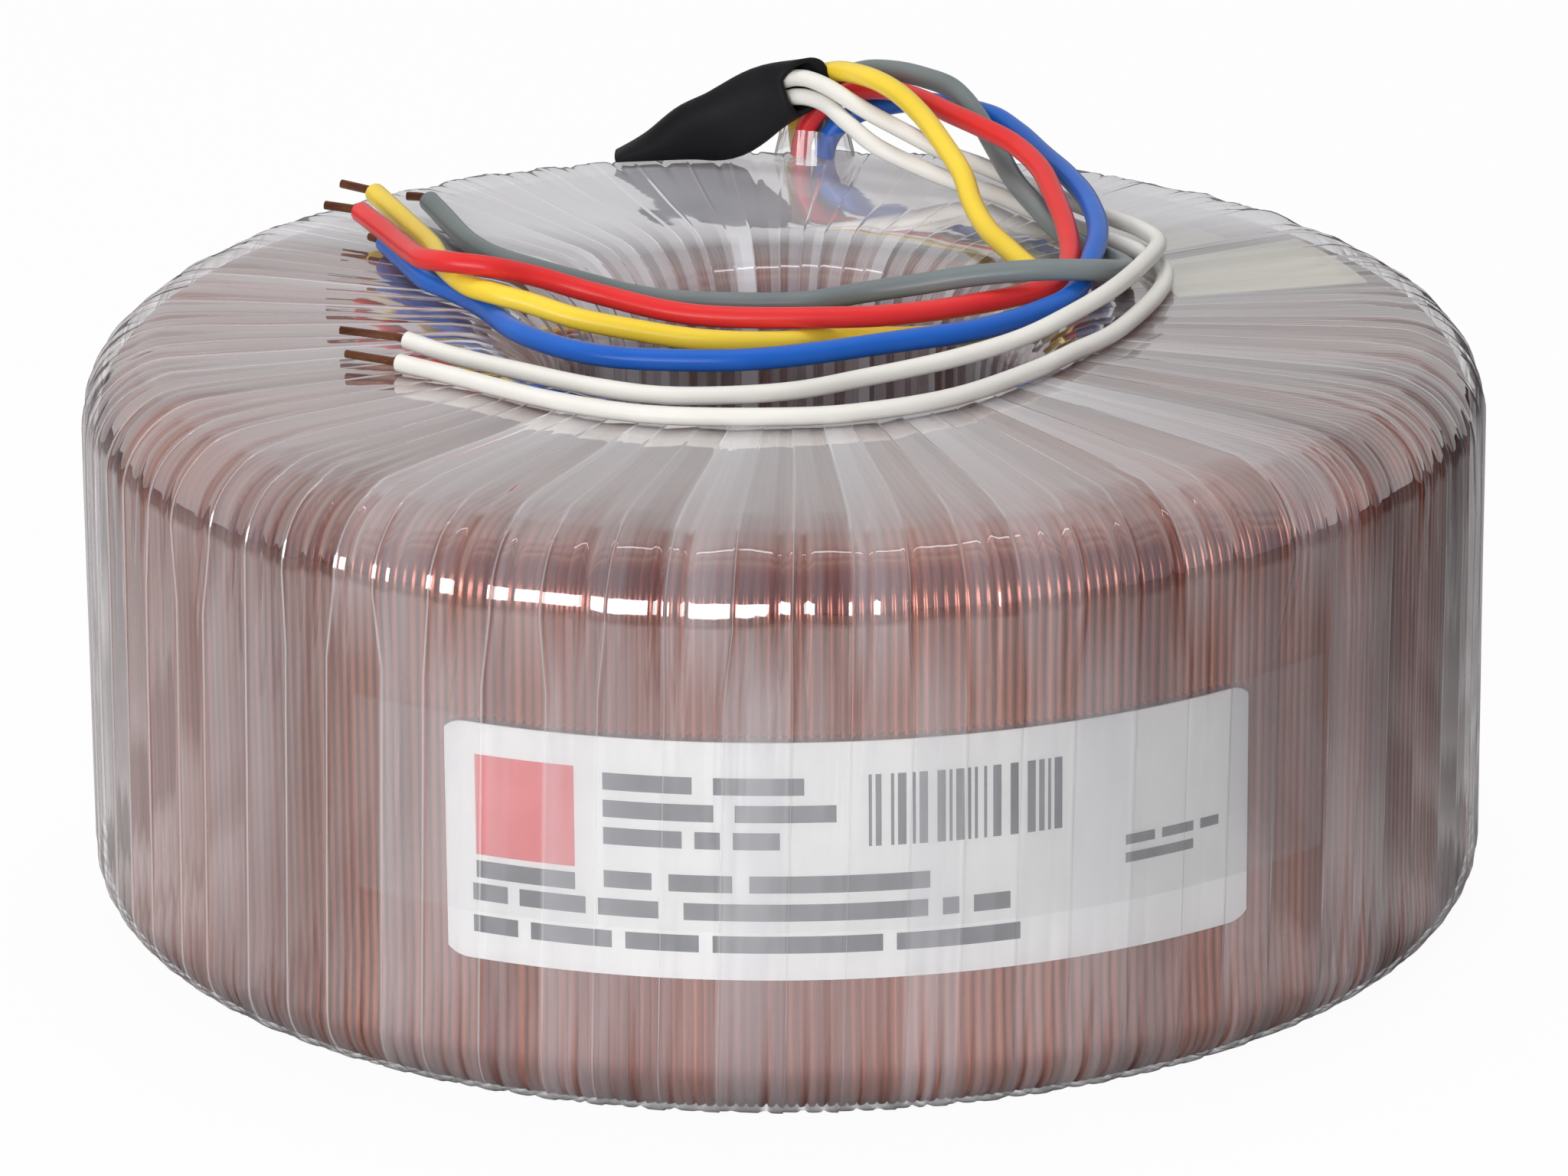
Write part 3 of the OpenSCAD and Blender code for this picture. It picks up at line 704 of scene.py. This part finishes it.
def sleeve_ring(line, heights, i, inset, around_ring):
    """One ring of the sleeve, flattened and slightly rippled, pushed out towards the mouth."""
    last = len(line) - 1
    along = (line[min(i + 1, last)] - line[max(i - 1, 0)]).normalized()
    side = along.cross(Vector((0, 0, 1))).normalized()
    up = side.cross(along)
    half_w = SLEEVE_W / 2 - inset
    half_h = max(heights[i] / 2 - inset, 0.15)
    cos, sin = np.cos(around_ring), np.sin(around_ring)
    ripple = 1 + 0.03 * np.sin(3 * around_ring + 0.35 * i) * min(1.0, i / 8)
    across = half_w * np.sign(cos) * np.abs(cos) ** 0.85 * ripple
    points = np.array(line[i]) + across[:, None] * np.array(side) + (half_h * sin)[:, None] * np.array(up)
    past = max(0.0, (i - last + SLEEVE_STEPS) / SLEEVE_STEPS)
    reach = past * SLEEVE_LIP * np.clip(-cos + 0.35 * sin, -0.6, 1.0)
    points += reach[:, None] * np.array(along)
    points[:, 2] = np.maximum(points[:, 2], HEIGHT + 0.03)
    return points


def make_sleeve():
    """Flattened sleeving whose mouth is cut so that the far wall reaches further out."""
    n = 40
    around_ring = -2 * np.pi * np.arange(n) / n
    line = spline(SLEEVE_LINE, SLEEVE_STEPS)
    heights = [h[0] for h in spline([(h, 0, 0) for h in SLEEVE_HEIGHTS], SLEEVE_STEPS)]
    last = len(line) - 1
    outside = [(i, 0.0) for i in range(last + 1)]
    bore = [(i, SLEEVE_WALL) for i in range(last, last - BORE_RINGS, -1)]
    rings = [sleeve_ring(line, heights, i, inset, around_ring) for i, inset in outside + bore]
    m = len(rings)
    faces = [tuple(range(n - 1, -1, -1)), tuple(range((m - 1) * n, m * n))]
    for i in range(m - 1):
        for j in range(n):
            k = (j + 1) % n
            faces.append((i * n + j, i * n + k, (i + 1) * n + k, (i + 1) * n + j))
    return make_mesh("black_sleeve", np.concatenate(rings), faces, ["black"])


def make_collar():
    """Thin film drawn up round the coloured leads, creased and torn off unevenly at the top."""
    rng = np.random.default_rng(21)
    n, m = 72, 10
    a = 2 * np.pi * np.arange(n) / n
    creases = sum(rng.uniform(0.03, 0.1) * np.sin(k * a + rng.uniform(0, 6.28)) for k in (5, 8, 11, 17, 23))
    rim = 1 + 0.16 * np.sin(3 * a + 1.0) + 0.1 * np.sin(7 * a)
    points = []
    for t in np.linspace(0, 1, m):
        radius = COLLAR_BASE_R + (COLLAR_TOP_R - COLLAR_BASE_R) * t + creases * (0.4 + 0.9 * t)
        height = HEIGHT - 0.1 + COLLAR_H * t * np.minimum(rim, 1.0)
        points.append(np.column_stack([
            COLLAR_CENTRE[0] + radius * np.cos(a), COLLAR_CENTRE[1] + radius * np.sin(a), height]))
    faces = [(i * n + j, i * n + (j + 1) % n, (i + 1) * n + (j + 1) % n, (i + 1) * n + j)
             for i in range(m - 1) for j in range(n)]
    return make_mesh("film_collar", np.concatenate(points), faces, ["collar"])


black_sleeve = make_sleeve()
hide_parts("primary_sleeve")

collar = make_collar()
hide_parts("exit_collar")


# ---------- studio ----------

FLOOR_HALF = 6.0          # metres
FLOOR_DROP = 0.00005      # metres below the resting face
FLOOR_SHOWN = 0.96        # share of plain white in what the camera sees of the floor
# name, place, height aimed at, width, height, power, whether the tape mirrors it
LAMPS = [
    ("row", (-0.5, -1.05, 0.17), 0.05, 1.0, 0.34, 5.5, True),
    ("strip", (0.0, -0.1, 1.3), 0.05, 0.9, 0.05, 0.28, True),
    ("key", (-0.30, -1.15, 0.60), 0.04, 0.75, 0.62, 10.5, False),
    ("left", (-1.1, -0.7, 0.55), 0.04, 0.4, 0.6, 2.0, False),
    ("top", (0.0, 0.25, 1.3), 0.04, 0.5, 0.35, 7.0, False),
]


def painted_floor_reflection(tree):
    """Painted reflection: the floor's colour in the tape only, in uneven rays, darker far off, darker to the
    right as painted shade and darker close by as a painted shadow of the ring.
    """
    place = add(tree, "ShaderNodeTexCoord").outputs["Object"]
    turn = add(tree, "ShaderNodeTexGradient", {"Vector": place}, gradient_type="RADIAL")
    rays = add(tree, "ShaderNodeTexNoise", {"W": turn.outputs["Fac"], "Scale": 34.0, "Detail": 1.0},
               noise_dimensions="1D")
    uneven = ramp(tree, rays.outputs[0], [(0.35, grey(0.6)), (0.65, grey(1.0))])
    sideways = add(tree, "ShaderNodeSeparateXYZ", {"Vector": place}).outputs["X"]
    # darker to the right: painted shade
    right = ramp(tree, maths(tree, "MULTIPLY_ADD", sideways, 2.0, 0.5),
                 [(0.2, grey(0.5)), (0.5, grey(0.66)), (0.8, grey(0.2))])
    away = add(tree, "ShaderNodeVectorMath", {0: place}, operation="LENGTH").outputs["Value"]
    # darker close by, a painted shadow of the ring on the floor, and darker far off
    painted_near_shadow_far_dark = ramp(tree, away, [(0.055, grey(0.35)), (0.085, grey(1.0)), (0.24, grey(1.0)), (0.32, grey(0.3))])
    shaded = mix_colours(tree, 1.0, right, uneven, "MULTIPLY")
    return mix_colours(tree, 1.0, shaded, painted_near_shadow_far_dark, "MULTIPLY")


def make_floor():
    """White to the eye, pale to lamps, and in the tape's reflections with painted tones: a painted reflection
    holding a painted shadow close to the ring.
    """
    mat, tree, out = new_material("floor")
    path = add(tree, "ShaderNodeLightPath")
    tone = mix_colours(tree, path.outputs["Is Glossy Ray"], (*grey(0.65), 1.0), painted_floor_reflection(tree))
    shade = add(tree, "ShaderNodeBsdfDiffuse", {"Color": tone})
    light = add(tree, "ShaderNodeEmission", {"Color": (1.0, 1.0, 1.0, 1.0), "Strength": 1.0})
    seen = maths(tree, "MULTIPLY", path.outputs["Is Camera Ray"], FLOOR_SHOWN)
    tree.links.new(mix_shaders(tree, seen, shade, light).outputs[0], out.inputs["Surface"])
    mesh = bpy.data.meshes.new("floor")
    s = FLOOR_HALF
    mesh.from_pydata([(-s, -s, 0), (s, -s, 0), (s, s, 0), (-s, s, 0)], [], [(0, 1, 2, 3)])
    mesh.materials.append(mat)
    floor = link_object("floor", mesh)
    floor.location.z = -FLOOR_DROP


def make_world():
    """White to the eye; to the lit pieces dark in front, uneven overhead and light behind, as a white sweep."""
    world = bpy.data.worlds.new("studio")
    bpy.context.scene.world = world
    world.use_nodes = True
    tree = world.node_tree
    tree.nodes.clear()
    out = add(tree, "ShaderNodeOutputWorld")
    direction = add(tree, "ShaderNodeTexCoord").outputs["Generated"]
    parts = add(tree, "ShaderNodeSeparateXYZ", {"Vector": direction})
    front = maths(tree, "MULTIPLY", parts.outputs["Y"], -1.0)
    rise = maths(tree, "ARCTAN2", parts.outputs["Z"], front)
    # from the horizon in front, over the top, to the horizon behind
    band = ramp(tree, maths(tree, "MULTIPLY", rise, 1 / math.pi), [
        (0.0, (0.16, 0.15, 0.19)), (0.30, (0.17, 0.16, 0.20)), (0.36, (0.30, 0.24, 0.26)),
        (0.39, (0.44, 0.42, 0.36)), (0.42, (0.30, 0.24, 0.26)), (0.46, (0.46, 0.44, 0.45)),
        (0.50, (0.36, 0.33, 0.36)), (0.54, grey(0.52)), (0.60, grey(0.54)), (1.0, grey(0.56)),
    ])
    path = add(tree, "ShaderNodeLightPath")
    colour = mix_colours(tree, path.outputs["Is Camera Ray"], band, (1.0, 1.0, 1.0, 1.0))
    shade = add(tree, "ShaderNodeBackground", {"Color": colour, "Strength": 1.0})
    tree.links.new(shade.outputs[0], out.inputs["Surface"])


def area_light(name, place, aim_height, width, height, power, mirrored):
    data = bpy.data.lights.new(name, "AREA")
    data.shape = "RECTANGLE"
    data.size, data.size_y = width, height
    data.energy = power
    lamp = link_object(name, data)
    lamp.location = place
    lamp.rotation_mode = "QUATERNION"
    lamp.rotation_quaternion = (Vector((0, 0, aim_height)) - Vector(place)).to_track_quat("-Z", "Y")
    lamp.visible_glossy = mirrored
    lamp.visible_camera = False


make_floor()
make_world()
for lamp_facts in LAMPS:
    area_light(*lamp_facts)

bpy.context.scene.view_settings.view_transform = "Standard"
